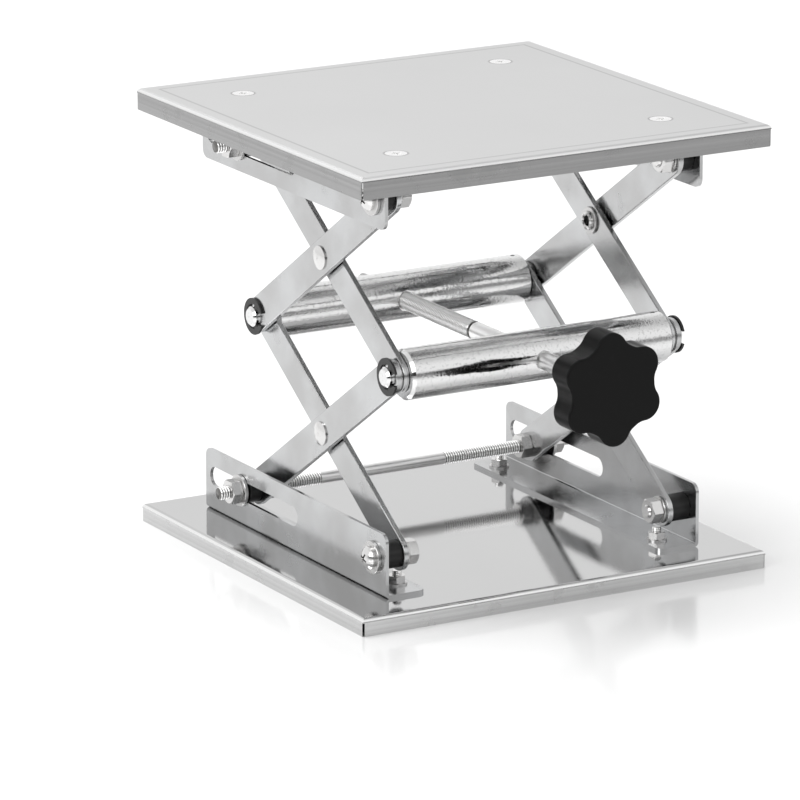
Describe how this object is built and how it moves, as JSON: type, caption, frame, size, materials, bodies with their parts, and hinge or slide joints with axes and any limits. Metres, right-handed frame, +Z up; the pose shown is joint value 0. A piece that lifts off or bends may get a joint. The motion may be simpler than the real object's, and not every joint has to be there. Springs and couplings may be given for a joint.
{
  "type": "lab jack",
  "caption": "Scissor lifting platform with a folded steel top and base; a star knob turns a lead screw that draws the two cross bars together and raises the top.",
  "frame": {"origin": "middle of the base plate's square outline, on the surface that the base skirts stand on", "axes": "+X runs along the cross bars to the right seen from the knob, +Y points away from the knob, +Z is up"},
  "size_m": [0.2, 0.236, 0.1968],
  "materials": {
    "platform_steel": "fine matte light grey deck, brushed skirts",
    "base_steel": "near-mirror polished deck, brushed skirts",
    "plated_sheet": "bright zinc plating, slightly clouded",
    "bar_chrome": "bright plating with a fine speckle",
    "plated_rod": "bright zinc-plated thread",
    "plated_hardware": "bright zinc plating",
    "black_bush": "black moulded plastic",
    "black_clip": "black phosphated spring steel",
    "knob_plastic": "black moulded plastic, softly satin",
    "insert_steel": "zinc-plated turned steel"
  },
  "bodies": {
    "base": {"base_plate": "base_steel", "base_bracket_left": "plated_sheet", "base_bracket_right": "plated_sheet", "base_flange_screws": "plated_hardware", "base_flange_washers": "plated_hardware", "base_flange_nuts": "plated_hardware", "base_pivot_screws": "plated_hardware", "base_pivot_washers": "plated_hardware", "base_pivot_spacers": "black_bush", "base_pivot_inner_washers": "plated_hardware", "base_pivot_nuts": "plated_hardware"},
    "lower_inner_arms": {"lower_inner_arm_left": "plated_sheet", "lower_inner_arm_right": "plated_sheet", "lower_rivets": "plated_hardware", "lower_rivet_washers": "plated_hardware", "lower_rivet_spacers": "plated_hardware"},
    "rear_bar": {"rear_bar": "bar_chrome", "rear_bar_clips": "black_clip", "rear_bar_spacers": "plated_hardware"},
    "lower_outer_arms": {"lower_outer_arm_left": "plated_sheet", "lower_outer_arm_right": "plated_sheet", "lower_tie_rod": "plated_rod", "lower_tie_rod_inner_nuts": "plated_hardware", "lower_slot_bushes": "black_bush", "lower_tie_rod_washers": "plated_hardware", "lower_tie_rod_outer_nuts": "plated_hardware"},
    "front_bar": {"front_bar": "bar_chrome", "front_bar_clips": "black_clip", "front_bar_spacers": "plated_hardware", "screw_retaining_pin": "plated_hardware"},
    "upper_outer_arms": {"upper_outer_arm_left": "plated_sheet", "upper_outer_arm_right": "plated_sheet", "upper_rivets": "plated_hardware", "upper_rivet_washers": "plated_hardware", "upper_rivet_spacers": "plated_hardware"},
    "upper_inner_arms": {"upper_inner_arm_left": "plated_sheet", "upper_inner_arm_right": "plated_sheet", "upper_tie_rod": "plated_rod", "upper_tie_rod_inner_nuts": "plated_hardware", "upper_slot_bushes": "black_bush", "upper_tie_rod_washers": "plated_hardware", "upper_tie_rod_outer_nuts": "plated_hardware"},
    "platform": {"top_plate": "platform_steel", "top_bracket_left": "plated_sheet", "top_bracket_right": "plated_sheet", "top_flange_screws": "plated_hardware", "top_flange_washers": "plated_hardware", "top_flange_nuts": "plated_hardware", "top_pivot_screws": "plated_hardware", "top_pivot_washers": "plated_hardware", "top_pivot_spacers": "black_bush", "top_pivot_inner_washers": "plated_hardware", "top_pivot_nuts": "plated_hardware"},
    "screw": {"lead_screw": "plated_rod", "knob": "knob_plastic", "knob_insert": "insert_steel"}
  },
  "joints": [
    {"name": "lower_inner_fold", "type": "hinge", "parent": "base", "child": "lower_inner_arms", "pos_m": [0, -0.07, 0.024], "axis": [1, 0, 0], "range_deg": [-26.5, 26]},
    {"name": "rear_bar_level", "type": "hinge", "parent": "lower_inner_arms", "child": "rear_bar", "pos_m": [0, 0.04758, 0.10182], "axis": [1, 0, 0], "range_deg": [-26, 26.5]},
    {"name": "lower_outer_fold", "type": "hinge", "parent": "lower_inner_arms", "child": "lower_outer_arms", "pos_m": [0, -0.01121, 0.06291], "axis": [1, 0, 0], "range_deg": [-52, 53]},
    {"name": "front_bar_level", "type": "hinge", "parent": "lower_outer_arms", "child": "front_bar", "pos_m": [0, -0.07, 0.10182], "axis": [1, 0, 0], "range_deg": [-26.5, 26]},
    {"name": "upper_outer_fold", "type": "hinge", "parent": "lower_inner_arms", "child": "upper_outer_arms", "pos_m": [0, 0.04758, 0.10182], "axis": [1, 0, 0], "range_deg": [-52, 53]},
    {"name": "upper_inner_fold", "type": "hinge", "parent": "lower_outer_arms", "child": "upper_inner_arms", "pos_m": [0, -0.07, 0.10182], "axis": [1, 0, 0], "range_deg": [-53, 52]},
    {"name": "platform_level", "type": "hinge", "parent": "upper_outer_arms", "child": "platform", "pos_m": [0, -0.07, 0.17965], "axis": [1, 0, 0], "range_deg": [-26.5, 26]},
    {"name": "knob_turn", "type": "hinge", "parent": "front_bar", "child": "screw", "pos_m": [0, 0, 0.10182], "axis": [0, 1, 0], "range_deg": [-9943, 9756]}
  ],
  "couplings": [
    {"joint": "rear_bar_level", "follows": "lower_inner_fold", "ratio": -1},
    {"joint": "lower_outer_fold", "follows": "lower_inner_fold", "ratio": -2},
    {"joint": "front_bar_level", "follows": "lower_inner_fold", "ratio": 1},
    {"joint": "upper_outer_fold", "follows": "lower_inner_fold", "ratio": -2},
    {"joint": "upper_inner_fold", "follows": "lower_inner_fold", "ratio": 2},
    {"joint": "platform_level", "follows": "lower_inner_fold", "ratio": 1},
    {"joint": "knob_turn", "follows": "lower_inner_fold", "ratio": 375.2}
  ]
}
